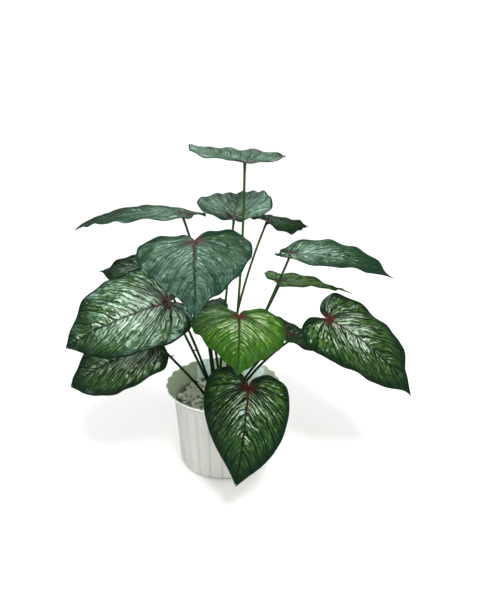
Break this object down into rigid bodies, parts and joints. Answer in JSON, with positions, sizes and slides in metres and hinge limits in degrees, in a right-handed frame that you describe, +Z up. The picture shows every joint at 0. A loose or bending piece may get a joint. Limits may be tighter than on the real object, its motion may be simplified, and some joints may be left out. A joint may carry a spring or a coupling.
{
  "type": "potted caladium",
  "caption": "Bushy foliage plant with heart-shaped variegated blades on slender stems, in a pleated flared pot topped with stone chips.",
  "frame": {"origin": "centre of the pot's flat underside, on the surface it rests on", "axes": "+Z up along the pot's axis, the pictured front faces -Y, +X to the right in the picture"},
  "size_m": [0.3689, 0.3423, 0.3679],
  "materials": {
    "pot": "off-white, slightly translucent, satin",
    "soil": "dark crumbly potting soil",
    "gravel": "pale grey-green stone chips",
    "blade_deep": "waxy, deep green with white and mint streaks and crimson main veins",
    "blade_teal": "waxy, blue-green sheen with pale streaks and crimson main veins",
    "blade_light": "waxy, bright green with pale streaks and crimson main veins",
    "stem": "smooth green stem, darker low down"
  },
  "bodies": {
    "root": {"pot": "pot", "soil": "soil", "gravel": "gravel", "blade_top": "blade_deep", "blade_back": "blade_teal", "blade_left_high": "blade_teal", "blade_right_back": "blade_deep", "blade_front_high": "blade_teal", "blade_left_back": "blade_deep", "blade_left_mid": "blade_deep", "blade_left_low": "blade_deep", "blade_front_mid": "blade_light", "blade_front_low": "blade_deep", "blade_right_high": "blade_teal", "blade_right_inner": "blade_light", "blade_right_low": "blade_deep", "blade_right_back_low": "blade_deep", "blade_back_small": "blade_deep", "petiole_top": "stem", "petiole_back": "stem", "petiole_left_high": "stem", "petiole_right_back": "stem", "petiole_front_high": "stem", "petiole_left_back": "stem", "petiole_left_mid": "stem", "petiole_left_low": "stem", "petiole_front_mid": "stem", "petiole_front_low": "stem", "petiole_right_high": "stem", "petiole_right_inner": "stem", "petiole_right_low": "stem", "petiole_right_back_low": "stem", "petiole_back_small": "stem"}
  },
  "joints": []
}
